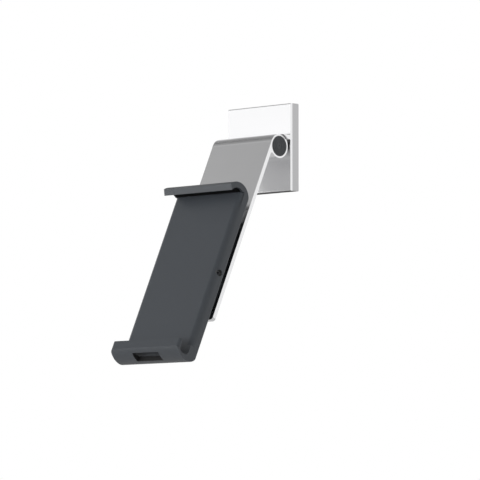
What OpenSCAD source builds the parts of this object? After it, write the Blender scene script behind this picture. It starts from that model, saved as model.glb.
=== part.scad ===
// Wall mount for a tablet: a square wall plate, a tilting arm and a swivelling spring clamp.
// Millimetres. X runs along the wall, Y points into the wall, Z is up.
// The origin is the centre of the wall plate's back face.

/* [Wall plate] */
// Width and height of the square wall plate
plate_size = 60; // [58:1:72]
// Depth of the base block that is screwed to the wall
base_depth = 7; // [6.5:0.5:10]
// Thickness of the bracket's front plate
front_t = 2; // [1.6:0.1:3]
// Distance between the wall screw holes, both ways
wall_hole_pitch = 36; // [32:1:38]
// Diameter of the wall screw holes
wall_hole_d = 4.5; // [4:0.5:5]
// Diameter of the recess for a wall screw's head
wall_head_d = 9; // [8:0.5:9.5]
// Depth of the recess for a wall screw's head
wall_head_depth = 3; // [2:0.5:4]
// Radius of the base's back edges
base_edge_r = 1.6; // [0.5:0.1:2]
// Radius of the front plate's top and bottom edges
front_edge_r = 0.8; // [0.4:0.1:1.2]

/* [Hinge] */
// Outer diameter of the arm's eye
eye_d = 16.4; // [16:0.2:20]
// Wall of the arm's eye
eye_wall = 1.2; // [1:0.1:1.6]
// Gap between the eye and the front plate
eye_gap = 1; // [0.8:0.1:3]
// Length of the eye on each side of the bracket's knuckle
eye_side = 14; // [12:0.5:16]
// Thickness of the neck between front plate and hinge
neck_t = 3; // [2.4:0.2:4]
// Diameter of the hinge pin
pin_d = 6; // [5:0.5:7]
// Tilt of the arm from the vertical, as modelled
tilt = 24.6; // [0:0.2:38]
// Largest tilt of the arm from the vertical
tilt_max = 38; // [30:1:40]

/* [Arm] */
// Width of the arm
arm_w = 57; // [54:1:58]
// Thickness of the arm's plate
arm_t = 2.8; // [2.4:0.1:4]
// Length of the arm from the hinge axis
arm_len = 136.5; // [134:0.5:150]
// Step between the eye's front and the plate's front
arm_step = 0.1; // [0.1:0.1:0.4]
// Angle of the groove above the arm's front
groove_angle = 14; // [8:1:24]
// Width and depth of the groove
groove_w = 0.7; // [0.4:0.1:1]
// Radius of the arm's lower corners
arm_corner_r = 2; // [1:0.5:6]

/* [Swivel] */
// Distance from the hinge axis to the swivel axis
swivel_s = 107; // [105:0.5:110]
// Diameter of the swivel discs
swivel_d = 44; // [38:1:48]
// Thickness of the fixed disc on the arm
swivel_base_t = 2.6; // [2.2:0.1:3.2]
// Thickness of the friction ring
friction_t = 0.6; // [0.4:0.1:1]
// Diameter of the swivel bolt
bolt_d = 6; // [5:0.5:7]

/* [Holder] */
// Width of the holder
holder_w = 65; // [63:1:76]
// Length of the closed holder, over both claws
holder_len = 131.5; // [130:0.5:136]
// Distance from the swivel axis to the holder's lower end
low_end = 67; // [66:0.5:69]
// Gap between the arm's plate and the holder's back
holder_gap = 5.5; // [5.4:0.1:8]
// Thickness of the holder's body
body_t = 8.4; // [8.2:0.1:10]
// Thickness of the body's front wall
body_wall = 2.2; // [1.8:0.1:2.4]
// Radius of the body's long front edges
body_edge_r = 4; // [2:0.5:5]
// Thickness of the back cover
cover_t = 1.8; // [1.6:0.1:2]
// Length of the top claw's root below the centre of its hook
root_len = 5; // [4:0.5:6]

/* [Claws] */
// Outer radius of the top claw's hook
top_hook_r = 11; // [10.5:0.25:12]
// Wall of the top hook
top_wall = 4; // [3.4:0.1:4.4]
// Angle round the top hook at which its lip is cut off
lip_angle = 55; // [50:1:60]
// Slope of the cut face of the top lip
lip_slope = 32; // [28:1:36]
// Wall of the bottom claw
hook_wall = 3.2; // [2.8:0.1:3.6]
// Thickness of the top claw's pad
top_pad_t = 0.8; // [0.6:0.1:1.2]
// Height of the bottom lip in front of the panel
bottom_lip_h = 10.5; // [9.5:0.25:13]
// Radius of the bottom claw's slanting nose
nose_r = 13.7; // [13:0.25:16]
// Thickness of the bottom claw's pad
bottom_pad_t = 0.8; // [0.6:0.1:1.4]
// Width of the cable slot
slot_w = 25; // [15:1:35]
// Height of the cable slot
slot_h = 6.7; // [6.4:0.1:7]

/* [Slide] */
// Travel of the top claw
travel = 85; // [40:1:86]
// Thickness of the sliding fork
fork_t = 1.5; // [1.2:0.1:1.8]
// Distance from the middle to each leg's inner edge
leg_in = 12.5; // [12:0.25:13]
// Room between each leg and the cavity's side
leg_room = 6.5; // [6:0.25:8]
// Outer diameter of the springs
spring_d = 3; // [2.4:0.1:3.2]
// Wire of the springs
spring_wire = 0.6; // [0.4:0.05:0.8]
// Turns of each spring
spring_turns = 24; // [12:1:30]
// Diameter of the lock screw
lock_d = 4; // [3:0.5:4]

/* [Hidden] */
$fn = 64;

// Clearances
run = 0.05;
seat = 0.15;
slide = 0.2;
free = 0.3;
eps = 0.01;
past = 1;

// Wall plate and hinge, from the wall outwards
front_y = base_depth + front_t;
eye_r = eye_d / 2;
bore_r = eye_r - eye_wall;
axis_out = front_y + eye_gap + eye_r;
pin_r = pin_d / 2;
knuckle_w = arm_w - 2 * eye_side;
knuckle_r = bore_r - free;
web_angle = 45;
web_inner = pin_r + 2;
web_outer = eye_r + 1.4;
neck_top = eye_r;
neck_fillet = 1;
window_margin = 3;

// Rails that hang the bracket on the base
rail_t = 2.4;
rail_depth = 3.6;
rail_z = plate_size / 2 - 5.4;
rail_end = 4;
hook_t = 1.4;
hook_h = 1;
grub_d = 3;
grub_len = 3.4;
grub_x = plate_size * 0.3;
pocket = 12;
pocket_depth = base_depth - 2.5;

// Pin, bushes and caps along the hinge
washer_t = 0.8;
bush_in = knuckle_w / 2 + washer_t + 2 * run;
cap_t = 1.7;
cap_recess = 0.2;
ring_t = 0.8;
cap_in = arm_w / 2 - cap_recess - cap_t;
pin_end = cap_in - free;
ring_in = pin_end - 0.3 - ring_t;
bush_out = ring_in - ring_t / 2 - 2 * run;

// Layers from the hinge axis outwards
arm_front = eye_r - arm_step;
arm_back = arm_front - arm_t;
base_top = arm_front + swivel_base_t;
ring_top = base_top + friction_t;
back_z = arm_front + holder_gap;
boss_z = ring_top + run * 2;
cover_top = back_z + cover_t;
front_z = back_z + body_t;
roof_z = front_z - body_wall;
bolt_r = bolt_d / 2;
nut_t = 3;
nut_af = 10;
swivel_washer_t = 0.8;
bolt_head_r = 5.2;
bolt_head_t = 3;
bolt_top = cover_top + run + swivel_washer_t + nut_t + 0.2;
swivel_screw_r = 16.5;
swivel_screw_count = 4;

// Holder plan, measured from the swivel axis
half_w = holder_w / 2;
top_end = holder_len - low_end;
hook_c_y = top_end - top_hook_r;
hook_c_z = back_z + top_hook_r;
split_y = hook_c_y - root_len;
ledge = 2.2;
cover_half = half_w - ledge;
back_r = min(body_t - 0.5, 7.9);
cavity_half = cover_half - 2.3;
cavity_low = -low_end + 13;
cover_low = -low_end + back_r + 1;
cover_high = split_y - 0.8;
back_edge_r = 1.5;
lip_end_r = 2;

// Hooks
top_inner_r = top_hook_r - top_wall;
top_lip_low = hook_c_y + 2.6;
top_seat = roof_z - slide;
tongue_high = hook_c_y + sqrt(pow(top_inner_r, 2) - pow(hook_c_z - front_z, 2)) - free;
bottom_lip_z = front_z + bottom_lip_h;
bottom_lip_t = 2.4;
bottom_lip_high = -low_end + 11.4;
throat_r = 3;
slot_top = bottom_lip_z - bottom_lip_t;
pad_inset = 2;

// Slide
fork_z = cover_top + slide;
fork_top = fork_z + fork_t;
leg_out = cavity_half - leg_room;
leg_w = leg_out - leg_in;
engage = 15.5;
leg_low = split_y - travel - engage;
fork_high = hook_c_y + 5;
bridge_low = split_y - 3;
spring_x = leg_in - 3;
wire_r = spring_wire / 2;
spring_z = fork_top + wire_r + run;
spring_low = cavity_low + 3.5;
spring_high = bridge_low + 1.4;
coil_low = spring_low + 8;
coil_high = spring_high - 8;
post_r = 0.8;
post_seat = body_wall - 0.8;
fork_screw_x = leg_in / 2;
fork_screw_y = hook_c_y + 1;
fork_screw_grip = 1.8;
cover_screw_x = cavity_half - 1.6;
cover_screw_rows = [cavity_low + 4, -12, split_y - 7];
cover_screw_r = 1.25;
cover_boss_r = 2.4;
lock_r = lock_d / 2;
lock_z = roof_z - 1.6;
lock_tip = leg_out + free;
lock_head_x = half_w - 1.6;
insert_r = lock_r + 0.7;
insert_in = cavity_half + 0.6;
insert_len = 3;
key_af = 2;

// Colours
alu = "#d6d7d9";
silver = "#c2c4c7";
graphite = "#4d5156";
cap_grey = "#45484b";
rubber_grey = "#2c2e30";
steel = "#a9acb0";
bras = "#c9a85a";

// Frame of the arm: Z up the arm, minus Y out of its front
module arm_frame()
    translate([0, -axis_out, 0])
        rotate([-tilt, 0, 0])
            children();

// Frame of the holder: X right, Y up the arm, Z out of the front, at the swivel axis
module face()
    arm_frame()
        translate([0, 0, -swivel_s])
            rotate([90, 0, 0])
                children();

// A side profile in Y and Z, drawn out to a width along X
module across(width)
    translate([-width / 2, 0, 0])
        rotate([90, 0, 90])
            linear_extrude(width)
                children();

// A cylinder along X between two positions
module along_x(from, to, r)
    translate([from, 0, 0])
        rotate([0, 90, 0])
            cylinder(h = to - from, r = r);

// A ring along X between two positions
module ring_x(from, to, r, bore)
    difference() {
        along_x(from, to, r);
        along_x(from - past, to + past, bore);
    }

// A rectangle with round corners, from two corner points
module round_rect(low, high, r) {
    translate([low[0] + r, low[1]])
        square([high[0] - low[0] - 2 * r, high[1] - low[1]]);
    translate([low[0], low[1] + r])
        square([high[0] - low[0], high[1] - low[1] - 2 * r]);
    for (x = [low[0] + r, high[0] - r], y = [low[1] + r, high[1] - r])
        translate([x, y])
            circle(r);
}

// A plate with its plan in X and Y, between two heights
module slab(from, to)
    translate([0, 0, from])
        linear_extrude(to - from)
            children();

// A hexagon given by its width across the flats
module hexagon(af)
    circle(r = af / sqrt(3), $fn = 6);

// Copies on both sides of the middle
module both_sides(x)
    for (side = [-1, 1])
        translate([side * x, 0, 0])
            children();

// A countersunk screw that points along minus Z, its head's top at the origin
module countersunk(head_r, shank_r, length, key) {
    head_h = head_r - shank_r;
    difference() {
        union() {
            translate([0, 0, -head_h])
                cylinder(h = head_h, r1 = shank_r, r2 = head_r);
            translate([0, 0, -length])
                cylinder(h = length - head_h + eps, r = shank_r);
        }
        translate([0, 0, -head_h * 0.8])
            linear_extrude(head_h)
                hexagon(key);
    }
}

// The hole that takes a countersunk screw, with room around it
module countersink(head_r, shank_r, length) {
    head_h = head_r - shank_r;
    translate([0, 0, -head_h])
        cylinder(h = head_h, r1 = shank_r + run, r2 = head_r + run);
    translate([0, 0, -length])
        cylinder(h = length, r = shank_r + run);
    translate([0, 0, -eps])
        cylinder(h = past, r = head_r + run);
}

// Centres of the wall screws
module wall_hole_places()
    for (x = [-1, 1], z = [-1, 1])
        translate([x * wall_hole_pitch / 2, 0, z * wall_hole_pitch / 2])
            rotate([90, 0, 0])
                children();

// Section of the rails on the back of the front plate, with room around them
module rails(gap) {
    for (side = [-1, 1])
        translate([-base_depth - past, side * rail_z - rail_t / 2 - gap])
            square([rail_depth + past + gap, rail_t + 2 * gap]);
    translate([-base_depth + rail_depth - hook_t - gap, rail_z])
        square([hook_t + 2 * gap, rail_t / 2 + hook_h + gap]);
}

module wall_base() {
    color(silver)
        difference() {
            intersection() {
                across(plate_size)
                    difference() {
                        translate([-base_depth, -plate_size / 2])
                            square([base_depth, plate_size]);
                        for (side = [-1, 1])
                            edge_cut(side);
                    }
                rotate([0, 90, 0])
                    across(plate_size)
                        difference() {
                            translate([-base_depth, -plate_size / 2])
                                square([base_depth, plate_size]);
                            for (side = [-1, 1])
                                edge_cut(side);
                        }
            }
            wall_hole_places() {
                translate([0, 0, -past])
                    cylinder(h = base_depth + 2 * past, r = wall_hole_d / 2);
                translate([0, 0, base_depth - wall_head_depth])
                    cylinder(h = wall_head_depth + past, r = wall_head_d / 2);
            }
            across(plate_size - 2 * rail_end + 2 * slide)
                rails(slide);
            for (x = [-1, 0, 1], z = [-1, 0, 1])
                if (x * z == 0)
                    translate([x * wall_hole_pitch / 2, 0, z * (wall_hole_pitch / 2 - 2)])
                        translate([-pocket / 2, -pocket_depth, -pocket / 2])
                            cube([pocket, pocket_depth + past, pocket]);
            grub_places()
                translate([0, 0, -past])
                    cylinder(h = grub_len + 2 * past, r = grub_d / 2);
        }
}

// The sliver outside a round back edge of the base
module edge_cut(side)
    translate([-base_edge_r, side * (plate_size / 2 - base_edge_r)])
        difference() {
            translate([0, side > 0 ? 0 : -base_edge_r - past])
                square([base_edge_r + past, base_edge_r + past]);
            circle(base_edge_r);
        }

// Places of the grub screws in the base's underside, pointing up
module grub_places()
    both_sides(grub_x)
        translate([0, -base_depth + rail_depth / 2, -plate_size / 2])
            children();

// Section of the bracket: front plate and neck
module bracket_section() {
    difference() {
        translate([-front_y, -plate_size / 2])
            square([front_t, plate_size]);
        for (side = [-1, 1])
            translate([-front_y + front_edge_r, side * (plate_size / 2 - front_edge_r)])
                difference() {
                    translate([-front_edge_r - past, side > 0 ? 0 : -front_edge_r - past])
                        square([front_edge_r + past, front_edge_r + past]);
                    circle(front_edge_r);
                }
    }
    difference() {
        union() {
            translate([-axis_out, neck_top - neck_t])
                square([axis_out - front_y + eps, neck_t]);
            neck_fillets();
        }
        translate([-axis_out, 0])
            circle(eye_r + free);
    }
}

// Fillets above and below the neck's root
module neck_fillets()
    for (side = [0, 1])
        translate([-front_y, side > 0 ? neck_top : neck_top - neck_t])
            mirror([0, 1 - side])
                difference() {
                    translate([-neck_fillet, -eps])
                        square([neck_fillet + eps, neck_fillet + eps]);
                    translate([-neck_fillet, neck_fillet])
                        circle(neck_fillet);
                }

// Section of the knuckle and of the web that carries it through the eye's window
module knuckle_section()
    translate([-axis_out, 0]) {
        circle(knuckle_r);
        rotate(web_angle)
            translate([web_inner, -neck_t / 2])
                square([web_outer - web_inner, neck_t]);
    }

module front_bracket() {
    color(alu)
        difference() {
            union() {
                across(plate_size)
                    bracket_section();
                across(plate_size - 2 * rail_end)
                    rails(0);
                across(knuckle_w)
                    knuckle_section();
            }
            translate([0, -axis_out, 0])
                along_x(-knuckle_w, knuckle_w, pin_r);
            grub_places()
                translate([0, 0, grub_len])
                    cylinder(h = plate_size / 2 - rail_z - rail_t / 2 + 0.6 - grub_len, r = grub_d / 2 - 0.5);
        }
}

module bracket_grubs() {
    color(steel)
        grub_places()
            translate([0, 0, 0.3])
                difference() {
                    cylinder(h = grub_len, r = grub_d / 2 - run);
                    translate([0, 0, -eps])
                        linear_extrude(1.4)
                            hexagon(1.5);
                }
}

module hinge_pin() {
    color(steel)
        translate([0, -axis_out, 0])
            difference() {
                along_x(-pin_end, pin_end, pin_r);
                both_sides(ring_in)
                    ring_x(-ring_t / 2, ring_t / 2, pin_r + past, pin_r - 0.6);
            }
}

module hinge_washers() {
    color(steel)
        translate([0, -axis_out, 0])
            both_sides(knuckle_w / 2 + washer_t / 2 + run)
                ring_x(-washer_t / 2, washer_t / 2, bore_r - 2 * free, pin_r + run);
}

module retaining_rings() {
    color(steel)
        translate([0, -axis_out, 0])
            both_sides(ring_in)
                ring_x(-ring_t / 2 + eps, ring_t / 2 - eps, pin_r + 1.8, pin_r - 0.55);
}

// Section of the arm in its own frame: eye, plate and the fillet behind the eye
module arm_section()
    difference() {
        union() {
            circle(eye_r);
            translate([-arm_front, -arm_len])
                square([arm_t, arm_len]);
            back_fillet();
        }
        circle(bore_r);
        rotate(-groove_angle)
            translate([-eye_r, 0])
                rotate(45)
                    square(groove_w / sqrt(2), center = true);
    }

// Fillet where the plate's back runs into the eye
module back_fillet() {
    fillet_r = 1.4;
    c_x = -arm_back + fillet_r;
    c_z = -sqrt(pow(eye_r + fillet_r, 2) - pow(c_x, 2));
    difference() {
        translate([-arm_back - eps, c_z])
            square([fillet_r + eps, -c_z]);
        translate([c_x, c_z])
            circle(fillet_r);
        translate([c_x, c_z])
            square([fillet_r * 2, -c_z]);
    }
}

// The part of the eye that is cut away for the bracket's web, over the arm's whole tilt
module eye_window() {
    web_half = asin(neck_t / 2 / bore_r) + window_margin;
    from = web_angle - web_half;
    to = web_angle + web_half + tilt_max;
    reach = eye_r * 1.6;
    across(knuckle_w + 2 * free)
        polygon([
            [0, 0],
            reach * [cos(from), sin(from)],
            reach * [cos((from + to) / 2), sin((from + to) / 2)],
            reach * [cos(to), sin(to)]
        ]);
}

module arm() {
    color(alu)
        arm_frame()
            difference() {
                intersection() {
                    across(arm_w)
                        arm_section();
                    rotate([90, 0, 0])
                        slab(-eye_r * 2, eye_r * 2)
                            union() {
                                round_rect([-arm_w / 2, -arm_len], [arm_w / 2, 0], arm_corner_r);
                                translate([-arm_w / 2, -arm_corner_r])
                                    square([arm_w, eye_r * 2]);
                            }
                }
                eye_window();
                translate([0, 0, -swivel_s])
                    rotate([90, 0, 0]) {
                        translate([0, 0, arm_back - past])
                            cylinder(h = arm_t + 2 * past, r = bolt_r + run);
                        swivel_screw_places()
                            translate([0, 0, arm_back])
                                mirror([0, 0, 1])
                                    countersink(2.6, 1.25, arm_t + past);
                    }
            }
}

module friction_bushes() {
    color(rubber_grey)
        arm_frame()
            for (side = [-1, 1])
                scale([side, 1, 1])
                    ring_x(bush_in, bush_out, bore_r, pin_r + run);
}

module end_caps() {
    color(cap_grey)
        arm_frame()
            for (side = [0, 1])
                mirror([side, 0, 0])
                    difference() {
                        along_x(cap_in, cap_in + cap_t, bore_r);
                        difference() {
                            along_x(cap_in + cap_t - 0.2, cap_in + cap_t + past, bore_r * 0.72);
                            along_x(cap_in, cap_in + cap_t + past, bore_r * 0.6);
                        }
                    }
}

// Places of the screws that hold the fixed disc to the arm
module swivel_screw_places()
    for (i = [0 : swivel_screw_count - 1])
        rotate(45 + i * 360 / swivel_screw_count)
            translate([swivel_screw_r, 0, 0])
                children();

module swivel_base() {
    color(graphite)
        face()
            difference() {
                translate([0, 0, arm_front])
                    cylinder(h = swivel_base_t, r = swivel_d / 2);
                translate([0, 0, arm_front - past])
                    cylinder(h = swivel_base_t + 2 * past, r = bolt_r + run);
                swivel_screw_places()
                    translate([0, 0, arm_front - past])
                        cylinder(h = past + swivel_base_t - 0.6, r = 1.25);
                translate([0, 0, base_top - 0.3])
                    ring_plan(0.3 + past, swivel_d / 2 - 3.8, swivel_d / 2 - 11.2);
            }
}

// A flat ring that rises from the plane Z = 0
module ring_plan(h, r, bore)
    difference() {
        cylinder(h = h, r = r);
        translate([0, 0, -past])
            cylinder(h = h + 2 * past, r = bore);
    }

module swivel_screws() {
    color(steel)
        face()
            swivel_screw_places()
                translate([0, 0, arm_back])
                    mirror([0, 0, 1])
                        countersunk(2.6, 1.2, arm_t + swivel_base_t - 0.8, 1.6);
}

module friction_ring() {
    color(rubber_grey)
        face()
            translate([0, 0, base_top - 0.3])
                ring_plan(friction_t + 0.3, swivel_d / 2 - 4, swivel_d / 2 - 11);
}

module swivel_bolt() {
    color(steel)
        face()
            difference() {
                union() {
                    translate([0, 0, arm_back])
                        cylinder(h = bolt_top - arm_back, r = bolt_r);
                    translate([0, 0, arm_back - bolt_head_t])
                        cylinder(h = bolt_head_t, r1 = bolt_head_r - 1, r2 = bolt_head_r);
                }
                translate([0, 0, arm_back - bolt_head_t - eps])
                    linear_extrude(bolt_head_t * 0.7)
                        hexagon(4);
            }
}

module swivel_washer() {
    color(steel)
        face()
            translate([0, 0, cover_top + run])
                ring_plan(swivel_washer_t, nut_af * 0.6, bolt_r + run);
}

module swivel_nut() {
    color(steel)
        face()
            translate([0, 0, cover_top + run + swivel_washer_t])
                difference() {
                    linear_extrude(nut_t)
                        hexagon(nut_af);
                    translate([0, 0, -past])
                        cylinder(h = nut_t + 2 * past, r = bolt_r);
                }
}

// Places of the screws that hold the back cover
module cover_screw_places()
    both_sides(cover_screw_x)
        for (y = cover_screw_rows)
            translate([0, y, 0])
                children();

module back_cover() {
    color(graphite)
        face()
            difference() {
                union() {
                    slab(back_z, cover_top)
                        round_rect([-cover_half + seat, cover_low + seat], [cover_half - seat, cover_high], 3);
                    translate([0, 0, boss_z])
                        cylinder(h = cover_top - boss_z, r = swivel_d / 2);
                }
                translate([0, 0, boss_z - past])
                    cylinder(h = cover_top - boss_z + 2 * past, r = bolt_r + run);
                cover_screw_places()
                    translate([0, 0, back_z])
                        mirror([0, 0, 1])
                            countersink(2.2, cover_screw_r, cover_t + past);
            }
}

module cover_screws() {
    color(steel)
        face()
            cover_screw_places()
                translate([0, 0, back_z])
                    mirror([0, 0, 1])
                        countersunk(2.2, cover_screw_r - run, cover_t + 3.4, 1.5);
}

// Section of the bottom claw and of the body's lower end
module bottom_section() {
    nose_z = back_z + back_r;
    difference() {
        union() {
            intersection() {
                translate([-low_end + back_r, nose_z])
                    circle(back_r);
                translate([-low_end, back_z])
                    square(back_r);
            }
            translate([-low_end + back_r, back_z])
                square([split_y + low_end - back_r, body_t]);
            translate([split_y, roof_z])
                square([tongue_high - split_y, body_wall]);
            intersection() {
                translate([-low_end + nose_r, nose_z])
                    circle(nose_r);
                translate([-low_end, nose_z])
                    square([nose_r, bottom_lip_z - nose_z]);
            }
        }
        throat(-low_end + hook_wall, front_z, slot_top, bottom_lip_high + past);
        translate([bottom_lip_high, front_z])
            square([holder_len, bottom_lip_h + past]);
    }
}

// The space inside a hook that opens towards plus Y, with round inner corners
module throat(floor_y, low_z, high_z, mouth_y)
    round_rect([floor_y, low_z], [mouth_y + throat_r * 2, high_z], throat_r);

// Plan of the body and of the claws in X and Z, with round edges
module edge_section(top_z, front_r)
    difference() {
        translate([-half_w, back_z])
            square([holder_w, top_z - back_z]);
        for (side = [0, 1])
            mirror([side, 0]) {
                corner_cut([half_w, top_z], front_r);
                mirror([0, 1])
                    corner_cut([half_w, -back_z], back_edge_r);
            }
    }

// The sliver outside a round corner whose tip is given
module corner_cut(tip, r)
    translate([tip[0] - r, tip[1] - r])
        difference() {
            square([r + past, r + past]);
            circle(r);
        }

// A section in X and Z, drawn along Y between two positions
module along_y(from, to)
    translate([0, to, 0])
        rotate([90, 0, 0])
            linear_extrude(to - from)
                children();

// Outer form of the body with the bottom claw
module body_form() {
    intersection() {
        across(holder_w)
            bottom_section();
        union() {
            along_y(-low_end - past, bottom_lip_high + eps)
                edge_section(bottom_lip_z, lip_end_r);
            along_y(bottom_lip_high, tongue_high)
                edge_section(front_z, body_edge_r);
        }
    }
}

module holder_body() {
    guide_low = cavity_low;
    guide_high = split_y;
    color(graphite)
        face()
            difference() {
                union() {
                    difference() {
                        body_form();
                        slab(back_z - past, cover_top)
                            round_rect([-cover_half, cover_low], [cover_half, split_y + 4], 3);
                        slab(cover_top - eps, roof_z)
                            round_rect([-cavity_half, cavity_low], [cavity_half, split_y + 4], 2);
                    }
                    cover_screw_places()
                        slab(cover_top, roof_z + eps)
                            circle(cover_boss_r);
                    both_sides(leg_in + leg_w / 2)
                        slab(fork_top + slide, roof_z + eps)
                            translate([-1.5, guide_low])
                                square([3, guide_high - guide_low]);
                    both_sides(leg_out + slide + 0.5)
                        slab(fork_z, roof_z + eps)
                            translate([-0.5, guide_low])
                                square([1, guide_high - guide_low]);
                    lock_boss();
                }
                cover_screw_places()
                    translate([0, 0, cover_top - past])
                        cylinder(h = past + 3.6, r = cover_screw_r - run);
                lock_hole();
                translate([-slot_w / 2, -low_end - past, slot_top - slot_h])
                    cube([slot_w, hook_wall + 2 * past + 2, slot_h]);
                spring_post_places()
                    translate([0, 0, -past])
                        cylinder(h = past + post_seat, r = post_r);
            }
}

// The boss inside the right wall that holds the lock insert
module lock_boss()
    translate([0, 0, lock_z])
        intersection() {
            along_x(leg_out + slide, half_w - 1, insert_r + 1);
            translate([0, -insert_r * 2, cover_top - lock_z])
                cube([half_w, insert_r * 4, roof_z - cover_top + 1]);
        }

// The bore for the lock insert and the screw's way in and out
module lock_hole()
    translate([0, 0, lock_z]) {
        along_x(insert_in, insert_in + insert_len, insert_r);
        along_x(leg_out, half_w + past, lock_r + slide);
    }

// Places of the posts on the roof of the cavity
module spring_post_places()
    both_sides(spring_x)
        translate([0, spring_low, roof_z])
            children();

module spring_posts() {
    color(steel)
        face()
            spring_post_places()
                translate([0, 0, cover_top - roof_z + free])
                    cylinder(h = roof_z - cover_top - free + post_seat, r = post_r);
}

// One spring along Y: the coil, a loop round its post and an end bent down into the fork
module spring_shape() {
    mean_r = spring_d / 2 - wire_r;
    loop_r = post_r + wire_r + run;
    coil = coil_high - coil_low;
    translate([0, coil_low, spring_z])
        rotate([-90, 0, 0])
            rotate_extrude() {
                for (i = [0 : spring_turns])
                    translate([mean_r - wire_r, i * coil / spring_turns - wire_r])
                        square(spring_wire);
                translate([mean_r - wire_r, 0])
                    square([wire_r, coil]);
            }
    for (y = [coil_low, coil_high])
        translate([0, y, spring_z - mean_r])
            cylinder(h = mean_r, r = wire_r - run);
    for (ends = [[spring_low + loop_r, coil_low], [coil_high, spring_high]])
        translate([0, ends[0], spring_z])
            rotate([-90, 0, 0])
                cylinder(h = ends[1] - ends[0], r = wire_r);
    translate([0, spring_low, spring_z])
        rotate_extrude()
            translate([loop_r, 0])
                circle(wire_r);
    translate([0, spring_high, fork_z])
        cylinder(h = spring_z - fork_z + wire_r, r = wire_r);
}

module springs() {
    color(steel)
        face()
            both_sides(spring_x)
                spring_shape();
}

module lock_insert() {
    color(bras)
        face()
            translate([0, 0, lock_z])
                ring_x(insert_in, insert_in + insert_len, insert_r, lock_r + run);
}

module lock_screw() {
    color(steel)
        face()
            translate([0, 0, lock_z])
                difference() {
                    along_x(lock_tip, lock_head_x, lock_r);
                    translate([lock_head_x - 1.8, 0, 0])
                        rotate([0, 90, 0])
                            linear_extrude(1.8 + past)
                                hexagon(key_af);
                }
}

// Section of the top claw: the round hook with its slanting lip, and the root under the body's tongue
module top_section() {
    lip = [hook_c_y + top_hook_r * cos(lip_angle), hook_c_z + top_hook_r * sin(lip_angle)];
    reach = top_hook_r * 2;
    difference() {
        union() {
            translate([hook_c_y, hook_c_z])
                circle(top_hook_r);
            translate([split_y + free, back_z])
                square([root_len - free, top_seat - back_z]);
        }
        intersection() {
            translate([hook_c_y, hook_c_z])
                circle(top_inner_r);
            translate([hook_c_y, top_seat])
                square(reach);
        }
        translate([split_y - past, top_seat])
            square([tongue_high + slide - split_y + past, hook_c_z - top_seat]);
        translate([split_y - past, top_seat])
            square([top_lip_low - split_y + past, reach]);
        translate(lip)
            rotate(lip_slope)
                translate([-reach, 0])
                    square([2 * reach, reach]);
    }
}

module top_claw() {
    color(graphite)
        face()
            difference() {
                intersection() {
                    across(holder_w)
                        top_section();
                    union() {
                        along_y(hook_c_y - 2, top_end + past)
                            edge_section(hook_c_z + top_hook_r, lip_end_r);
                        along_y(split_y, hook_c_y)
                            edge_section(front_z, body_edge_r);
                    }
                }
                slab(back_z - past, fork_top)
                    translate([-leg_out - seat, split_y - past])
                        square([2 * leg_out + 2 * seat, fork_high + seat - split_y + past]);
                fork_screw_places()
                    translate([0, 0, fork_z])
                        cylinder(h = fork_t + fork_screw_grip + slide, r = 1.2);
            }
}

// The soft liner on the top hook's inner wall
module top_pad() {
    color(rubber_grey)
        face()
            across(holder_w - 2 * pad_inset)
                intersection() {
                    translate([hook_c_y, hook_c_z])
                        difference() {
                            circle(top_inner_r);
                            circle(top_inner_r - top_pad_t);
                        }
                    translate([top_lip_low + top_pad_t, front_z + free])
                        square(top_hook_r);
                }
}

module bottom_pad() {
    floor_y = -low_end + hook_wall;
    color(rubber_grey)
        face()
            difference() {
                across(holder_w - 2 * pad_inset)
                    intersection() {
                        throat(floor_y, front_z, slot_top, bottom_lip_high);
                        translate([floor_y, front_z])
                            square([bottom_pad_t, slot_top - front_z]);
                    }
                translate([-slot_w / 2 - seat, -low_end - past, slot_top - slot_h - seat])
                    cube([slot_w + 2 * seat, hook_wall + bottom_pad_t + 2 * past, slot_h + past]);
            }
}

// Places of the screws that hold the fork to the claw
module fork_screw_places()
    both_sides(fork_screw_x)
        translate([0, fork_screw_y, 0])
            children();

module slide_fork() {
    color(steel)
        face()
            difference() {
                slab(fork_z, fork_top) {
                    translate([-leg_out, bridge_low])
                        square([2 * leg_out, fork_high - bridge_low]);
                    both_sides(leg_in + leg_w / 2)
                        translate([-leg_w / 2, leg_low])
                            square([leg_w, fork_high - leg_low]);
                }
                fork_screw_places()
                    translate([0, 0, fork_z])
                        mirror([0, 0, 1])
                            countersink(2.4, 1.25, fork_t + past);
                both_sides(spring_x)
                    translate([0, spring_high, fork_z - past])
                        cylinder(h = fork_t + 2 * past, r = wire_r + run);
            }
}

module fork_screws() {
    color(steel)
        face()
            fork_screw_places()
                translate([0, 0, fork_z])
                    mirror([0, 0, 1])
                        countersunk(2.4, 1.2, fork_t + fork_screw_grip, 1.5);
}

wall_base();
front_bracket();
bracket_grubs();
hinge_pin();
hinge_washers();
retaining_rings();
arm();
friction_bushes();
end_caps();
swivel_base();
swivel_screws();
friction_ring();
swivel_bolt();
swivel_washer();
swivel_nut();
back_cover();
cover_screws();
holder_body();
bottom_pad();
spring_posts();
springs();
lock_insert();
lock_screw();
top_claw();
top_pad();
slide_fork();
fork_screws();
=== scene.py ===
import math

import bmesh
import bpy
from mathutils import Matrix, Vector


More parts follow.
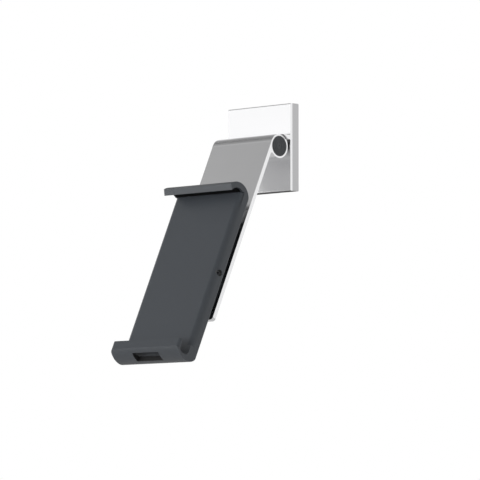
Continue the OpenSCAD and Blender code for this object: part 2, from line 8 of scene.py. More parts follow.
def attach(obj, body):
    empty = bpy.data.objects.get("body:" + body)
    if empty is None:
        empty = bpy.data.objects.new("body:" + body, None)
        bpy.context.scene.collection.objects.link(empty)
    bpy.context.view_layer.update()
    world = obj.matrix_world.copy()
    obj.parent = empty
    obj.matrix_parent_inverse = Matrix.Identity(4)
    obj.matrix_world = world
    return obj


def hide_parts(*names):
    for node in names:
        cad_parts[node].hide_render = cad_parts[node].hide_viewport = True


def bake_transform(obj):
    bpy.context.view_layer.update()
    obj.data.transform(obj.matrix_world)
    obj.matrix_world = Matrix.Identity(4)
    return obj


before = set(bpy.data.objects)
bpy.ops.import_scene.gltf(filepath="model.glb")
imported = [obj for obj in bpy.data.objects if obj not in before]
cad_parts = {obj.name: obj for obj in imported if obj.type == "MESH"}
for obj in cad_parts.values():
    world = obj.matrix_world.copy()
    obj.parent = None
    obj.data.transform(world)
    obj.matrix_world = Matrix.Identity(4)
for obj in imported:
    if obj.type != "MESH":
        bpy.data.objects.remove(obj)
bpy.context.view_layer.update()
mm = 0.001
print("frame loaded")

# Sizes shared with the CAD source, in millimetres
plan = {
    "tilt": 24.6,
    "axisOut": 18.2,
    "swivelDown": 107.0,
    "armBack": 5.3,
    "backZ": 13.6,
    "forkZ": 15.6,
    "capIn": 26.6,
    "boreRadius": 7.0,
}


def armMatrix():
    return (
        Matrix.Translation((0, -plan["axisOut"] * mm, 0))
        @ Matrix.Rotation(math.radians(-plan["tilt"]), 4, "X")
    )


def faceMatrix():
    # x right, y up the arm, z out of the front, from the swivel axis
    return (
        armMatrix()
        @ Matrix.Translation((0, 0, -plan["swivelDown"] * mm))
        @ Matrix.Rotation(math.radians(90), 4, "X")
    )


# ---- camera
camera = {
    "azimuth": 44.98,
    "elevation": 4.42,
    "shift": (19.478, 91.69, 2755.1),
    "heightOffset": 30.4,
    "focalPixels": 4000.0,
    "imagePixels": 480.0,
    "sensor": 36.0,
}


def makeCamera(settings):
    az = math.radians(settings["azimuth"])
    el = math.radians(settings["elevation"])
    right = Vector((math.cos(az), math.sin(az), 0))
    forward = Vector((-math.sin(az) * math.cos(el), math.cos(az) * math.cos(el), math.sin(el)))
    up = right.cross(forward)
    sx, sy, away = settings["shift"]
    place = -(right * sx + up * sy + forward * away) + Vector((0, 0, settings["heightOffset"]))
    data = bpy.data.cameras.new("camera")
    data.sensor_width = settings["sensor"]
    data.sensor_fit = "HORIZONTAL"
    data.lens = settings["focalPixels"] / settings["imagePixels"] * settings["sensor"]
    data.clip_start = 0.05
    data.clip_end = 50
    cameraObject = bpy.data.objects.new("camera", data)
    turn = Matrix((right, up, -forward)).transposed().to_4x4()
    cameraObject.matrix_world = Matrix.Translation(place * mm) @ turn
    bpy.context.scene.collection.objects.link(cameraObject)
    bpy.context.scene.camera = cameraObject


makeCamera(camera)
print("camera set")


# ---- finishes
def linearColour(red, green, blue):
    def one(v):
        v = v / 255
        return v / 12.92 if v <= 0.04045 else ((v + 0.055) / 1.055) ** 2.4
    return (one(red), one(green), one(blue), 1)


finishes = {
    "satinAluminium": {
        "colour": (232, 232, 233), "metal": 1.0, "rough": (0.20, 0.26),
        "grainScale": 900, "stretch": (0.02, 1, 1), "bump": 0.03, "shade": 0.015, "depth": 0.00002,
    },
    "castAluminium": {
        "colour": (184, 184, 185), "metal": 1.0, "rough": (0.28, 0.36),
        "grainScale": 1400, "stretch": (1, 1, 1), "bump": 0.12, "shade": 0.05, "depth": 0.00003,
    },
    "slateCoat": {
        "colour": (63, 67, 72), "metal": 0.0, "rough": (0.40, 0.48),
        "grainScale": 2600, "stretch": (1, 1, 1), "bump": 0.15, "shade": 0.04, "depth": 0.00003,
    },
    "darkDisc": {
        "colour": (70, 73, 77), "metal": 0.6, "rough": (0.32, 0.42),
        "grainScale": 1600, "stretch": (1, 1, 1), "bump": 0.1, "shade": 0.05, "depth": 0.00002,
    },
    # painted shade: a darker grey for the groove faces above the arm's front, standing in for the
    # shade in the groove
    "paintedGrooveShade": {
        "colour": (128, 128, 129), "metal": 0.6, "rough": (0.50, 0.60),
        "grainScale": 1400, "stretch": (1, 1, 1), "bump": 0.05, "shade": 0.04, "depth": 0.00002,
    },
    # painted shade: near-black for the cable slot's walls and the plates' undersides, where only
    # shade falls
    "paintedShadeBlack": {
        "colour": (20, 20, 21), "metal": 0.0, "rough": (0.60, 0.70),
        "grainScale": 1800, "stretch": (1, 1, 1), "bump": 0.15, "shade": 0.08, "depth": 0.00003,
    },
    "capPlastic": {
        "colour": (70, 72, 75), "metal": 0.0, "rough": (0.42, 0.55),
        "grainScale": 2000, "stretch": (1, 1, 1), "bump": 0.2, "shade": 0.06, "depth": 0.00003,
    },
    # painted shade: the top pad is near-black for the shade under the top lip; the bottom pad of
    # the same kind is grey
    "paintedShadowPad": {
        "colour": (9, 9, 10), "metal": 0.0, "rough": (0.85, 0.95), "specular": 0.15,
        "grainScale": 1800, "stretch": (1, 1, 1), "bump": 0.35, "shade": 0.10, "depth": 0.00005,
    },
    "claspPad": {
        "colour": (52, 56, 60), "metal": 0.0, "rough": (0.60, 0.72),
        "grainScale": 1800, "stretch": (1, 1, 1), "bump": 0.3, "shade": 0.06, "depth": 0.00004,
    },
    "frictionPlastic": {
        "colour": (58, 60, 63), "metal": 0.0, "rough": (0.50, 0.62),
        "grainScale": 1500, "stretch": (1, 1, 1), "bump": 0.2, "shade": 0.08, "depth": 0.00003,
    },
    # painted shade: the zinc steel lock screw is coloured dark grey for the shade in its recess
    "steelPaintedShade": {
        "colour": (74, 75, 78), "metal": 0.4, "rough": (0.34, 0.44),
        "grainScale": 1100, "stretch": (1, 1, 1), "bump": 0.08, "shade": 0.05, "depth": 0.00002,
    },
    "zincSteel": {
        "colour": (196, 198, 200), "metal": 1.0, "rough": (0.25, 0.36),
        "grainScale": 1100, "stretch": (1, 1, 1), "bump": 0.08, "shade": 0.05, "depth": 0.00002,
    },
    "springSteel": {
        "colour": (186, 187, 189), "metal": 1.0, "rough": (0.22, 0.34),
        "grainScale": 1300, "stretch": (1, 0.1, 1), "bump": 0.08, "shade": 0.06, "depth": 0.00002,
    },
    # painted shade: the brass lock insert is coloured dark grey for the shade in its recess
    "brassPaintedShade": {
        "colour": (84, 83, 80), "metal": 0.5, "rough": (0.44, 0.54),
        "grainScale": 1300, "stretch": (1, 0.1, 1), "bump": 0.08, "shade": 0.06, "depth": 0.00002,
    },
}


def makeFinish(name, look):
    material = bpy.data.materials.new(name)
    material.use_nodes = True
    tree = material.node_tree
    shader = tree.nodes["Principled BSDF"]
    shader.inputs["Metallic"].default_value = look["metal"]
    shader.inputs["Specular IOR Level"].default_value = look.get("specular", 0.5)
    place = tree.nodes.new("ShaderNodeTexCoord")
    scale = tree.nodes.new("ShaderNodeMapping")
    scale.inputs["Scale"].default_value = look["stretch"]
    tree.links.new(place.outputs["Object"], scale.inputs["Vector"])
    grain = tree.nodes.new("ShaderNodeTexNoise")
    grain.inputs["Scale"].default_value = look["grainScale"]
    grain.inputs["Detail"].default_value = 3
    grain.inputs["Roughness"].default_value = 0.6
    tree.links.new(scale.outputs["Vector"], grain.inputs["Vector"])
    cloud = tree.nodes.new("ShaderNodeTexNoise")
    cloud.inputs["Scale"].default_value = 28
    cloud.inputs["Detail"].default_value = 2
    tree.links.new(place.outputs["Object"], cloud.inputs["Vector"])

    base = linearColour(*look["colour"])
    low = tuple(c * (1 - look["shade"]) for c in base[:3]) + (1,)
    high = tuple(min(1, c * (1 + look["shade"])) for c in base[:3]) + (1,)
    both = tree.nodes.new("ShaderNodeMath")
    both.operation = "MULTIPLY_ADD"
    both.inputs[1].default_value = 0.5
    tree.links.new(grain.outputs["Fac"], both.inputs[0])
    half = tree.nodes.new("ShaderNodeMath")
    half.operation = "MULTIPLY"
    half.inputs[1].default_value = 0.5
    tree.links.new(cloud.outputs["Fac"], half.inputs[0])
    tree.links.new(half.outputs[0], both.inputs[2])
    ramp = tree.nodes.new("ShaderNodeValToRGB")
    ramp.color_ramp.elements[0].position = 0.3
    ramp.color_ramp.elements[0].color = low
    ramp.color_ramp.elements[1].position = 0.7
    ramp.color_ramp.elements[1].color = high
    tree.links.new(both.outputs[0], ramp.inputs["Fac"])
    tree.links.new(ramp.outputs["Color"], shader.inputs["Base Color"])

    rough = tree.nodes.new("ShaderNodeMapRange")
    rough.inputs["From Min"].default_value = 0.3
    rough.inputs["From Max"].default_value = 0.7
    rough.inputs["To Min"].default_value = look["rough"][0]
    rough.inputs["To Max"].default_value = look["rough"][1]
    tree.links.new(both.outputs[0], rough.inputs["Value"])
    tree.links.new(rough.outputs["Result"], shader.inputs["Roughness"])

    bump = tree.nodes.new("ShaderNodeBump")
    bump.inputs["Strength"].default_value = look["bump"]
    bump.inputs["Distance"].default_value = look["depth"]
    tree.links.new(grain.outputs["Fac"], bump.inputs["Height"])
    tree.links.new(bump.outputs["Normal"], shader.inputs["Normal"])
    return material


materials = {name: makeFinish(name, look) for name, look in finishes.items()}
print("finishes made")


# ---- pieces taken from the CAD nodes, with their edges softened
def softEdged(node, pieceName, bodyName, finish, slotName, width):
    # a merged copy of the CAD faces, with rounded edges and flat faces that shade flat
    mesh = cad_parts[node].data.copy()
    work = bmesh.new()
    work.from_mesh(mesh)
    bmesh.ops.remove_doubles(work, verts=work.verts, dist=0.000002)
    bmesh.ops.dissolve_degenerate(work, edges=work.edges, dist=0.000002)
    bmesh.ops.dissolve_limit(
        work, angle_limit=math.radians(0.4), verts=work.verts, edges=work.edges, delimit=set())
    bmesh.ops.connect_verts_concave(work, faces=work.faces)  # or large faces fill over their holes
    work.to_mesh(mesh)
    work.free()
    mesh.shade_smooth()
    mesh.set_sharp_from_angle(angle=math.radians(35))
    mesh.materials.clear()
    mesh.materials.append(materials[finish])
    piece = bpy.data.objects.new(pieceName, mesh)
    bpy.context.scene.collection.objects.link(piece)
    bevel = piece.modifiers.new("edges", "BEVEL")
    bevel.width = width * mm
    bevel.segments = 2
    bevel.limit_method = "ANGLE"
    bevel.angle_limit = math.radians(28)
    bevel.miter_outer = "MITER_ARC"
    flat = piece.modifiers.new("flatFaces", "WEIGHTED_NORMAL")
    flat.mode = "FACE_AREA"
    flat.weight = 100
    flat.keep_sharp = True
    bpy.context.view_layer.update()
    done = bpy.data.meshes.new_from_object(
        piece.evaluated_get(bpy.context.evaluated_depsgraph_get()))
    piece.modifiers.clear()
    piece.data = done
    bpy.data.meshes.remove(mesh)
    done.name = pieceName
    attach(piece, bodyName)
    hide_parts(node)


def paintShadeOn(pieceName, finish, chosen):
    # gives the faces that chosen picks, by centre and normal, a second material with painted shade
    mesh = bpy.data.objects[pieceName].data
    mesh.materials.append(materials[finish])
    for polygon in mesh.polygons:
        if chosen(polygon.center, polygon.normal):
            polygon.material_index = 1


softPieces = [
    ("wall_base", "wallBase", "wall_bracket", "castAluminium", "silver_anodised", 0.35),
    ("front_bracket", "frontBracket", "wall_bracket", "satinAluminium", "satin_aluminium", 0.25),
    ("hinge_pin", "hingePin", "wall_bracket", "zincSteel", "zinc_steel", 0.2),
    ("hinge_washers", "hingeWashers", "wall_bracket", "zincSteel", "zinc_steel", 0.08),
    ("retaining_rings", "retainingRings", "wall_bracket", "zincSteel", "zinc_steel", 0.08),
    ("arm", "armPlate", "swing_arm", "satinAluminium", "satin_aluminium", 0.25),
    ("friction_bushes", "frictionBushes", "swing_arm", "frictionPlastic", "soft_grey", 0.2),
    ("swivel_base", "swivelDisc", "swing_arm", "darkDisc", "graphite_disc", 0.3),
    ("friction_ring", "frictionRing", "swing_arm", "frictionPlastic", "soft_grey", 0.1),
    ("swivel_washer", "swivelWasher", "swing_arm", "zincSteel", "zinc_steel", 0.1),
    ("back_cover", "backCover", "holder", "slateCoat", "graphite_coat", 0.2),
    ("holder_body", "holderBody", "holder", "slateCoat", "graphite_coat", 0.3),
    ("bottom_pad", "bottomPad", "holder", "claspPad", "soft_pad", 0.15),
    ("spring_posts", "springPosts", "holder", "zincSteel", "zinc_steel", 0.15),
    # painted shade: the brass lock insert is dark grey
    ("lock_insert", "lockInsert", "holder", "brassPaintedShade", "brass_insert", 0.1),
    ("top_claw", "topClaw", "claw", "slateCoat", "graphite_coat", 0.3),
    # painted shade: the top pad is near-black for the shade under the lip
    ("top_pad", "topPad", "claw", "paintedShadowPad", "soft_pad", 0.15),
    ("slide_fork", "slideFork", "claw", "springSteel", "spring_steel", 0.12),
    ("swivel_bolt", "swivelBolt", "swing_arm", "zincSteel", "zinc_steel", 0.2),
    ("swivel_nut", "swivelNut", "swing_arm", "zincSteel", "zinc_steel", 0.2),
    # painted shade: the zinc steel lock screw is dark grey
    ("lock_screw", "lockScrew", "lock", "steelPaintedShade", "zinc_steel", 0.15),
]
for entry in softPieces:
    softEdged(*entry)


# where faces get painted shade, a second darker material, in millimetres and degrees
paintedShadePlaces = {
    "grooveAngle": (9, 19),  # above the arm's front, seen from the hinge axis
    "grooveRadius": (7.3, 8.12),
    "slotHalfWidth": 12.7,
    "slotHeight": (-66.8, -63),
    "slotDepth": (23.2, 30.3),
    "undersideBelow": -29,
}


def between(value, limits):
    return limits[0] < value < limits[1]


def inGroove(centre, normal):
    out = armMatrix().inverted() @ centre
    angle = math.degrees(math.atan2(out.z, -out.y))
    radius = math.hypot(out.y, out.z) / mm
    return (
        between(angle, paintedShadePlaces["grooveAngle"]) and between(radius, paintedShadePlaces["grooveRadius"])
        and abs(normal.x) < 0.5)


def inSlot(centre, normal):
    # the side, front and back walls of the cable slot
    turn = faceMatrix().inverted()
    x, y, z = turn @ centre / mm
    return (
        abs(x) < paintedShadePlaces["slotHalfWidth"] and between(y, paintedShadePlaces["slotHeight"])
        and between(z, paintedShadePlaces["slotDepth"]) and abs((turn.to_3x3() @ normal).y) < 0.5)


def underPlate(centre, normal):
    return normal.z < -0.8 and centre.z < paintedShadePlaces["undersideBelow"] * mm


# painted shade in the groove above the arm's front
paintShadeOn("armPlate", "paintedGrooveShade", inGroove)
# painted shade on the cable slot's walls and on the undersides of the wall base and front bracket
paintShadeOn("holderBody", "paintedShadeBlack", inSlot)
paintShadeOn("wallBase", "paintedShadeBlack", underPlate)
paintShadeOn("frontBracket", "paintedShadeBlack", underPlate)
print("main pieces made")


# ---- Geometry Nodes helpers
def newTree(name, numbers, counts=(), materialName="Finish"):
    tree = bpy.data.node_groups.new(name, "GeometryNodeTree")
    tree.is_modifier = True
    face = tree.interface
    face.new_socket(name="Places", in_out="INPUT", socket_type="NodeSocketGeometry")
    for word in numbers:
        face.new_socket(name=word, in_out="INPUT", socket_type="NodeSocketFloat")
    for word in counts:
        face.new_socket(name=word, in_out="INPUT", socket_type="NodeSocketInt")
    face.new_socket(name=materialName, in_out="INPUT", socket_type="NodeSocketMaterial")
    face.new_socket(name="Result", in_out="OUTPUT", socket_type="NodeSocketGeometry")
    return tree, tree.nodes.new("NodeGroupInput"), tree.nodes.new("NodeGroupOutput")


def addNode(tree, kind, settings=None, **links):
    node = tree.nodes.new(kind)
    for key, value in (settings or {}).items():
        setattr(node, key, value)
    for key, value in links.items():
        numbered = key[1:].isdigit()
        socket = node.inputs[int(key[1:]) if numbered else key.replace("_", " ")]
        if hasattr(value, "is_output"):
            tree.links.new(value, socket)
        else:
            socket.default_value = value
    return node


def sumOf(tree, kind, first, second):
    return addNode(tree, "ShaderNodeMath", {"operation": kind}, i0=first, i1=second).outputs[0]


def finishTree(tree, parts, places, finish, result):
    # copies what was made to each place, then ends as plain faces with their finish
    joined = addNode(tree, "GeometryNodeJoinGeometry")
    for part in parts:
        tree.links.new(part, joined.inputs[0])
    spread = addNode(
        tree, "GeometryNodeInstanceOnPoints", Points=places, Instance=joined.outputs[0])
    solid = addNode(tree, "GeometryNodeRealizeInstances", i0=spread.outputs[0])
    painted = addNode(tree, "GeometryNodeSetMaterial", Geometry=solid.outputs[0], Material=finish)
    tree.links.new(painted.outputs[0], result.inputs[0])


def growMesh(name, tree, values, places):
    # runs a tree on bare points and keeps its result as a plain mesh, still in millimetres
    seed = bpy.data.meshes.new(name + "Places")
    seed.from_pydata(places, [], [])
    carrier = bpy.data.objects.new(name, seed)
    bpy.context.scene.collection.objects.link(carrier)
    modifier = carrier.modifiers.new(name, "NODES")
    modifier.node_group = tree
    for item in tree.interface.items_tree:
        if item.in_out == "INPUT" and item.name in values:
            modifier[item.identifier] = values[item.name]
    bpy.context.view_layer.update()
    mesh = bpy.data.meshes.new_from_object(
        carrier.evaluated_get(bpy.context.evaluated_depsgraph_get()))
    bpy.data.objects.remove(carrier)
    bpy.data.meshes.remove(seed)
    mesh.name = name
    mesh.materials.clear()
    mesh.materials.append(values["Finish"])
    mesh.polygons.foreach_set("material_index", [0] * len(mesh.polygons))
    return mesh


def setPiece(name, mesh, matrix, smoothAngle=35):
    # millimetres in the given frame become metres in the scene's own
    mesh.transform(matrix @ Matrix.Scale(mm, 4))
    mesh.shade_smooth()
    mesh.set_sharp_from_angle(angle=math.radians(smoothAngle))
    piece = bpy.data.objects.new(name, mesh)
    bpy.context.scene.collection.objects.link(piece)
    return piece


# ---- screws: countersunk or headless, with a hex socket and a real thread, one at each place
def lifted(tree, geometry, height):
    up = addNode(tree, "ShaderNodeCombineXYZ", Z=height)
    return addNode(
        tree, "GeometryNodeTransform", Geometry=geometry, Translation=up.outputs[0]).outputs[0]


def turnedWall(tree, lowRadius, highRadius, depth, height):
    wall = addNode(
        tree, "GeometryNodeMeshCone", {"fill_type": "NONE"}, Vertices=36, Radius_Bottom=lowRadius,
        Radius_Top=highRadius, Depth=depth)
    return lifted(tree, wall.outputs[0], height)


def makeScrewTree():
    numbers = ("Head radius", "Head depth", "Shank radius", "Length", "Socket radius",
               "Socket depth", "Pitch", "Thread height")
    tree, given, result = newTree("socketScrews", numbers)
    value = given.outputs
    rim = 0.08
    point = 0.3
    root = sumOf(tree, "SUBTRACT", value["Shank radius"], value["Thread height"])
    rimRadius = sumOf(tree, "SUBTRACT", value["Head radius"], rim)
    coneDepth = sumOf(tree, "SUBTRACT", value["Head depth"], rim)
    pointStart = sumOf(tree, "SUBTRACT", value["Length"], point)
    shankDepth = sumOf(tree, "SUBTRACT", pointStart, value["Head depth"])
    pointRadius = sumOf(tree, "MULTIPLY", root, 0.75)
    topDisc = addNode(
        tree, "GeometryNodeMeshCircle", {"fill_type": "NGON"}, Vertices=36, Radius=rimRadius)
    topDown = addNode(tree, "GeometryNodeFlipFaces", Mesh=topDisc.outputs[0])
    endDisc = addNode(
        tree, "GeometryNodeMeshCircle", {"fill_type": "NGON"}, Vertices=36, Radius=pointRadius)
    walls = (
        topDown.outputs[0],
        turnedWall(tree, rimRadius, value["Head radius"], rim, 0.0),
        turnedWall(tree, value["Head radius"], root, coneDepth, rim),
        turnedWall(tree, root, root, shankDepth, value["Head depth"]),
        turnedWall(tree, root, pointRadius, point, pointStart),
        lifted(tree, endDisc.outputs[0], value["Length"]),
    )
    shell = addNode(tree, "GeometryNodeJoinGeometry")
    for wall in walls:
        tree.links.new(wall, shell.inputs[0])
    solid = addNode(tree, "GeometryNodeMergeByDistance", Geometry=shell.outputs[0], Distance=0.002)
    deep = sumOf(tree, "MULTIPLY", value["Socket depth"], 2)
    key = addNode(
        tree, "GeometryNodeMeshCylinder", Vertices=6, Radius=value["Socket radius"], Depth=deep)
    cut = addNode(tree, "GeometryNodeMeshBoolean", {"operation": "DIFFERENCE"})
    tree.links.new(solid.outputs[0], cut.inputs["Mesh 1"])
    tree.links.new(key.outputs[0], cut.inputs["Mesh 2"])

    threadDepth = sumOf(tree, "SUBTRACT", shankDepth, 0.4)
    rounds = sumOf(tree, "DIVIDE", threadDepth, value["Pitch"])
    helix = addNode(
        tree, "GeometryNodeCurveSpiral", Resolution=20, Rotations=rounds, Start_Radius=root,
        End_Radius=root, Height=threadDepth)
    ridge = addNode(
        tree, "GeometryNodeCurvePrimitiveCircle", Resolution=4, Radius=value["Thread height"])
    thread = addNode(
        tree, "GeometryNodeCurveToMesh", Curve=helix.outputs[0], Profile_Curve=ridge.outputs[0],
        Fill_Caps=True)
    threadStart = sumOf(tree, "ADD", value["Head depth"], 0.2)
    parts = (cut.outputs[0], lifted(tree, thread.outputs[0], threadStart))
    finishTree(tree, parts, value["Places"], value["Finish"], result)
    return tree


screwTree = makeScrewTree()
screwSets = {
    "swivelScrews": {
        "node": "swivel_screws", "body": "swing_arm", "frame": "face",
        "places": [
            (16.5 * math.cos(math.radians(45 + 90 * i)), 16.5 * math.sin(math.radians(45 + 90 * i)),
             plan["armBack"]) for i in range(4)],
        "sizes": {"Head radius": 2.6, "Head depth": 1.4, "Shank radius": 1.2, "Length": 4.6,
                  "Socket radius": 0.92, "Socket depth": 1.1},
    },
    "coverScrews": {
        "node": "cover_screws", "body": "holder", "frame": "face",
        "places": [(x, y, plan["backZ"]) for x in (-26.4, 26.4) for y in (-50, -12, 41.5)],
        "sizes": {"Head radius": 2.2, "Head depth": 1.0, "Shank radius": 1.2, "Length": 5.2,
                  "Socket radius": 0.87, "Socket depth": 0.8},
    },
    "forkScrews": {
        "node": "fork_screws", "body": "claw", "frame": "face",
        "places": [(x, 54.5, plan["forkZ"]) for x in (-6.25, 6.25)],
        "sizes": {"Head radius": 2.4, "Head depth": 1.2, "Shank radius": 1.2, "Length": 3.3,
                  "Socket radius": 0.87, "Socket depth": 0.95},
    },
    "bracketGrubs": {
        "node": "bracket_grubs", "body": "wall_bracket", "frame": "wall",
        "places": [(x, -5.2, -29.7) for x in (-18, 18)],
        "sizes": {"Head radius": 1.45, "Head depth": 0.25, "Shank radius": 1.45, "Length": 3.4,
                  "Socket radius": 0.87, "Socket depth": 1.4},
    },
}


def makeScrews(name, lot):
    sizes = dict(lot["sizes"], **{
        "Pitch": 0.5, "Thread height": 0.14, "Finish": materials["zincSteel"]})
    mesh = growMesh(name, screwTree, sizes, lot["places"])
    matrix = faceMatrix() if lot["frame"] == "face" else Matrix.Identity(4)
    piece = setPiece(name, mesh, matrix, 30)
    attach(piece, lot["body"])
    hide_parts(lot["node"])


for name, lot in screwSets.items():
    makeScrews(name, lot)
print("screws made")


# ---- the two pull springs: one wire each, coiled, looped round a post and bent at the top
spring = {
    "Side": 9.5,
    "Height": 17.45,
    "Low": -50.5,
    "High": 46.9,
    "Straight": 8.0,
    "Coil radius": 1.2,
    "Wire radius": 0.3,
    "Loop radius": 1.15,
    "Down": 1.85,
    "Turns": 24,
    "Points": 620,
}


def makeSpringTree():
    numbers = (
        "Low", "High", "Straight", "Coil radius", "Wire radius", "Loop radius", "Down", "Turns")
    tree, given, result = newTree("pullSpring", numbers, ("Points",))
    value = given.outputs
    lineStart = sumOf(tree, "ADD", value["Low"], value["Loop radius"])
    lineEnd = sumOf(tree, "SUBTRACT", value["High"], 0.6)
    coilStart = sumOf(tree, "ADD", value["Low"], value["Straight"])
    coilEnd = sumOf(tree, "SUBTRACT", value["High"], value["Straight"])
    startPoint = addNode(tree, "ShaderNodeCombineXYZ", Y=lineStart).outputs[0]
    endPoint = addNode(tree, "ShaderNodeCombineXYZ", Y=lineEnd).outputs[0]
    line = addNode(tree, "GeometryNodeCurvePrimitiveLine", Start=startPoint, End=endPoint)
    dense = addNode(
        tree, "GeometryNodeResampleCurve", Curve=line.outputs[0], Count=value["Points"])
    spot = addNode(tree, "GeometryNodeInputPosition")
    split = addNode(tree, "ShaderNodeSeparateXYZ", i0=spot.outputs[0])
    along = split.outputs["Y"]
    share = addNode(
        tree, "ShaderNodeMapRange", Value=along, From_Min=coilStart, From_Max=coilEnd)
    wholeTurn = sumOf(tree, "MULTIPLY", value["Turns"], 2 * math.pi)
    angle = sumOf(tree, "MULTIPLY", share.outputs[0], wholeTurn)
    easeIn = sumOf(tree, "SUBTRACT", coilStart, 1.4)
    easeOut = sumOf(tree, "ADD", coilEnd, 1.4)
    rise = addNode(
        tree, "ShaderNodeMapRange", {"interpolation_type": "SMOOTHSTEP"},
        Value=along, From_Min=easeIn, From_Max=coilStart)
    fall = addNode(
        tree, "ShaderNodeMapRange", {"interpolation_type": "SMOOTHSTEP"},
        Value=along, From_Min=easeOut, From_Max=coilEnd)
    open_ = sumOf(tree, "MULTIPLY", rise.outputs[0], fall.outputs[0])
    wide = sumOf(tree, "MULTIPLY", open_, value["Coil radius"])
    sine = addNode(tree, "ShaderNodeMath", {"operation": "SINE"}, i0=angle)
    cosine = addNode(tree, "ShaderNodeMath", {"operation": "COSINE"}, i0=angle)
    outX = sumOf(tree, "MULTIPLY", wide, sine.outputs[0])
    outZ = sumOf(tree, "MULTIPLY", wide, cosine.outputs[0])
    shift = addNode(tree, "ShaderNodeCombineXYZ", X=outX, Z=outZ)
    coiled = addNode(
        tree, "GeometryNodeSetPosition", Geometry=dense.outputs[0], Offset=shift.outputs[0])
    loop = addNode(
        tree, "GeometryNodeCurvePrimitiveCircle", Resolution=28, Radius=value["Loop radius"])
    loopAt = addNode(tree, "ShaderNodeCombineXYZ", Y=value["Low"])
    loopSet = addNode(
        tree, "GeometryNodeTransform", Geometry=loop.outputs[0], Translation=loopAt.outputs[0])
    corner = addNode(tree, "ShaderNodeCombineXYZ", Y=value["High"]).outputs[0]
    drop = sumOf(tree, "MULTIPLY", value["Down"], -1)
    cornerEnd = addNode(tree, "ShaderNodeCombineXYZ", Y=value["High"], Z=-0.6).outputs[0]
    bend = addNode(
        tree, "GeometryNodeCurveQuadraticBezier", Resolution=8, Start=endPoint, Middle=corner,
        End=cornerEnd)
    foot = addNode(tree, "ShaderNodeCombineXYZ", Y=value["High"], Z=drop).outputs[0]
    leg = addNode(tree, "GeometryNodeCurvePrimitiveLine", Start=cornerEnd, End=foot)
    wire = addNode(tree, "GeometryNodeJoinGeometry")
    for part in (coiled, loopSet, bend, leg):
        tree.links.new(part.outputs[0], wire.inputs[0])
    section = addNode(
        tree, "GeometryNodeCurvePrimitiveCircle", Resolution=8, Radius=value["Wire radius"])
    tube = addNode(
        tree, "GeometryNodeCurveToMesh", Curve=wire.outputs[0], Profile_Curve=section.outputs[0],
        Fill_Caps=True)
    finishTree(tree, (tube.outputs[0],), value["Places"], value["Finish"], result)
    return tree


def makeSprings(s):
    values = dict(s, Finish=materials["springSteel"], Turns=float(s["Turns"]))
    places = [(side * s["Side"], 0, s["Height"]) for side in (-1, 1)]
    mesh = growMesh("pullSprings", makeSpringTree(), values, places)
    piece = setPiece("pullSprings", mesh, faceMatrix(), 60)
    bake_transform(piece)
    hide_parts("springs")


makeSprings(spring)
print("springs made")


# ---- end caps: turned discs with fine rings round the middle
endCap = {
    "inner": plan["capIn"],
    "radius": plan["boreRadius"],
    "thick": 1.7,
    "chamfer": 0.25,
    "ringRadii": (5.5, 4.0, 2.5),
    "ringWidth": 0.5,
    "ringDeep": 0.3,
    "dimple": 0.9,
    "steps": 96,
}


def capOutline(c):
    top = c["inner"] + c["thick"]
    outline = [(0, c["inner"]), (c["radius"], c["inner"]), (c["radius"], top - c["chamfer"]),
               (c["radius"] - c["chamfer"], top)]
    for r in c["ringRadii"]:
        half = c["ringWidth"] / 2
        outline += [(r + half, top), (r + half * 0.5, top - c["ringDeep"]),
                    (r - half * 0.5, top - c["ringDeep"]), (r - half, top)]
    low = top - c["ringDeep"]
    outline += [(c["dimple"], top), (c["dimple"] * 0.6, low), (0, low)]
    return outline


def makeEndCaps(c):
    work = bmesh.new()
    for side in (-1, 1):
        outline = capOutline(c)
        rows = []
        for r, x in outline:
            if r == 0:
                rows.append([work.verts.new((side * x, 0, 0))])
            else:
                turns = [2 * math.pi * i / c["steps"] for i in range(c["steps"])]
                rows.append([
                    work.verts.new((side * x, r * math.cos(a), r * math.sin(a))) for a in turns])
        for inner, outer in zip(rows, rows[1:]):
            for i in range(c["steps"]):
                j = (i + 1) % c["steps"]
                corners = [inner[i % len(inner)], inner[j % len(inner)],
                           outer[j % len(outer)], outer[i % len(outer)]]
                work.faces.new(list(dict.fromkeys(corners)))
    bmesh.ops.recalc_face_normals(work, faces=work.faces)
    mesh = bpy.data.meshes.new("endCaps")
    work.to_mesh(mesh)
    work.free()
    mesh.materials.append(materials["capPlastic"])
    piece = setPiece("endCaps", mesh, armMatrix(), 20)
    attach(piece, "swing_arm")
    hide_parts("end_caps")


makeEndCaps(endCap)
print("end caps made")


# ---- floor, world and lamps
studio = {
    "floorDrop": -0.34,
    "floorSize": 6.0,
    "floorColour": (0.8, 0.8, 0.8, 1),
    "floorWhite": 0.75,
    "floorMirrored": 0.62,
    "worldLight": 0.30,
    "ceilingStart": 0.28,
    "ceilingFull": 0.72,
    "ceilingLight": 0.22,
}

# the mirrored boxes show in the metal; the key and the fill only light
lamps = {
    "leftBox": {"place": (-1.41, -1.41, 0.10), "size": (1.0, 0.8), "watts": 0.5, "mirrored": True},
    "rightBox": {"place": (1.30, 1.20, 0.55), "size": (1.0, 0.8), "watts": 0.3, "mirrored": True},
    "lowBox": {"place": (-0.95, -0.95, -0.20), "size": (0.9, 0.22), "watts": 1.6, "mirrored": True},
    "keyBox": {"place": (-1.1, -1.9, 0.0), "size": (0.9, 0.6), "watts": 22, "mirrored": False},
    "fillBox": {"place": (1.6, -1.2, 0.45), "size": (0.9, 0.6), "watts": 10, "mirrored": False},
}


def largerOf(tree, first, second):
    node = tree.nodes.new("ShaderNodeMath")
    node.operation = "MAXIMUM"
    tree.links.new(first, node.inputs[0])
    if hasattr(second, "is_output"):
        tree.links.new(second, node.inputs[1])
    else:
        node.inputs[1].default_value = second
    return node.outputs[0]


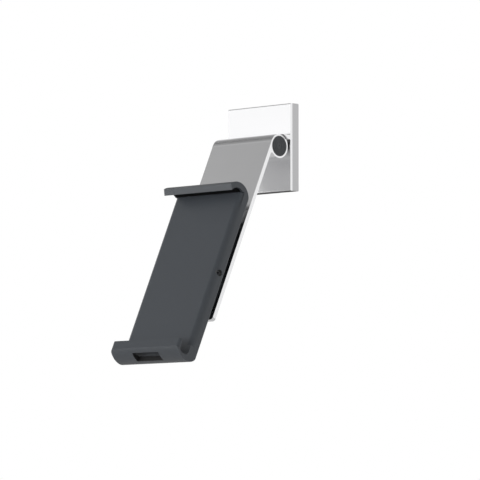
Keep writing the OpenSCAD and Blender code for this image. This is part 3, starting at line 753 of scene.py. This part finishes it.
def makeFloor(s):
    half = s["floorSize"] / 2
    mesh = bpy.data.meshes.new("floor")
    z = s["floorDrop"]
    mesh.from_pydata(
        [(-half, -half, z), (half, -half, z), (half, half, z), (-half, half, z)],
        [], [(0, 1, 2, 3)])
    floor = bpy.data.objects.new("floor", mesh)
    bpy.context.scene.collection.objects.link(floor)
    material = bpy.data.materials.new("paleFloor")
    material.use_nodes = True
    tree = material.node_tree
    shader = tree.nodes["Principled BSDF"]
    shader.inputs["Base Color"].default_value = s["floorColour"]
    shader.inputs["Roughness"].default_value = 0.9
    # nearly white to the camera, with the object's shadow, and greyer in what metal mirrors of it
    path = tree.nodes.new("ShaderNodeLightPath")
    white = largerOf(tree, path.outputs["Is Camera Ray"], s["floorMirrored"])
    pale = tree.nodes.new("ShaderNodeEmission")
    tree.links.new(white, pale.inputs["Strength"])
    share = tree.nodes.new("ShaderNodeMath")
    share.operation = "MULTIPLY"
    share.inputs[1].default_value = s["floorWhite"]
    tree.links.new(path.outputs["Is Camera Ray"], share.inputs[0])
    mix = tree.nodes.new("ShaderNodeMixShader")
    seen = largerOf(tree, share.outputs[0], path.outputs["Is Glossy Ray"])
    tree.links.new(seen, mix.inputs["Fac"])
    tree.links.new(shader.outputs[0], mix.inputs[1])
    tree.links.new(pale.outputs[0], mix.inputs[2])
    tree.links.new(mix.outputs[0], tree.nodes["Material Output"].inputs["Surface"])
    mesh.materials.append(material)


def makeWorld(s):
    # the camera sees white, metal a white horizon and a grey ceiling, and plain light is lower
    world = bpy.data.worlds.new("studio")
    bpy.context.scene.world = world
    world.use_nodes = True
    tree = world.node_tree
    direction = tree.nodes.new("ShaderNodeTexCoord")
    split = tree.nodes.new("ShaderNodeSeparateXYZ")
    tree.links.new(direction.outputs["Generated"], split.inputs[0])
    ceiling = tree.nodes.new("ShaderNodeMapRange")
    ceiling.inputs["From Min"].default_value = s["ceilingStart"]
    ceiling.inputs["From Max"].default_value = s["ceilingFull"]
    ceiling.inputs["To Min"].default_value = 1
    ceiling.inputs["To Max"].default_value = s["ceilingLight"]
    tree.links.new(split.outputs["Z"], ceiling.inputs["Value"])
    path = tree.nodes.new("ShaderNodeLightPath")
    strength = largerOf(tree, path.outputs["Is Camera Ray"], ceiling.outputs["Result"])
    backdrop = tree.nodes.new("ShaderNodeBackground")
    backdrop.inputs["Color"].default_value = (1, 1, 1, 1)
    tree.links.new(strength, backdrop.inputs["Strength"])
    light = tree.nodes["Background"]
    light.inputs["Color"].default_value = (1, 1, 1, 1)
    light.inputs["Strength"].default_value = s["worldLight"]
    seen = largerOf(tree, path.outputs["Is Camera Ray"], path.outputs["Is Glossy Ray"])
    seen = largerOf(tree, seen, path.outputs["Is Transmission Ray"])
    mix = tree.nodes.new("ShaderNodeMixShader")
    tree.links.new(seen, mix.inputs["Fac"])
    tree.links.new(light.outputs[0], mix.inputs[1])
    tree.links.new(backdrop.outputs[0], mix.inputs[2])
    tree.links.new(mix.outputs[0], tree.nodes["World Output"].inputs["Surface"])


def addLamp(name, lamp):
    data = bpy.data.lights.new(name, "AREA")
    data.shape = "RECTANGLE"
    data.size, data.size_y = lamp["size"]
    data.energy = lamp["watts"]
    box = bpy.data.objects.new(name, data)
    box.visible_glossy = lamp["mirrored"]
    place = Vector(lamp["place"])
    toward = Vector((0, -0.03, -0.03)) - place
    turn = toward.to_track_quat("-Z", "Y").to_matrix().to_4x4()
    box.matrix_world = Matrix.Translation(place) @ turn
    bpy.context.scene.collection.objects.link(box)


makeFloor(studio)
makeWorld(studio)
for name, lamp in lamps.items():
    addLamp(name, lamp)
print("studio made")

bpy.context.scene.view_settings.view_transform = "Standard"
